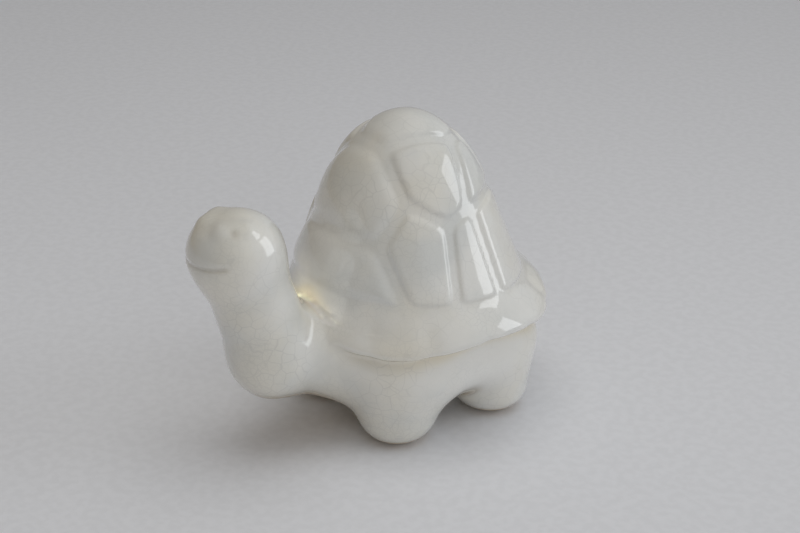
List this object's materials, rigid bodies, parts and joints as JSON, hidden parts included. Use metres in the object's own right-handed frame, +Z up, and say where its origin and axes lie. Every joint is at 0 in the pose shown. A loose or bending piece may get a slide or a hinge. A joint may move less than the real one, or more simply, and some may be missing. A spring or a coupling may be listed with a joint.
{
  "type": "turtle figurine",
  "caption": "Glazed ceramic turtle ornament with a tall domed shell in raised scutes, a flared rim, an upright neck with a round head and stubby legs.",
  "frame": {"origin": "on the floor under the middle of the bounding box, between the feet", "axes": "+Z up, head towards -Y, the turtle's left side towards +X"},
  "size_m": [0.0932, 0.1314, 0.1063],
  "materials": {
    "crackle_glaze": "glossy"
  },
  "bodies": {
    "root": {"carapace": "crackle_glaze", "marginal_rim": "crackle_glaze", "body": "crackle_glaze", "neck": "crackle_glaze", "head": "crackle_glaze", "front_left_leg": "crackle_glaze", "front_right_leg": "crackle_glaze", "rear_left_leg": "crackle_glaze", "rear_right_leg": "crackle_glaze", "tail": "crackle_glaze"}
  },
  "joints": []
}
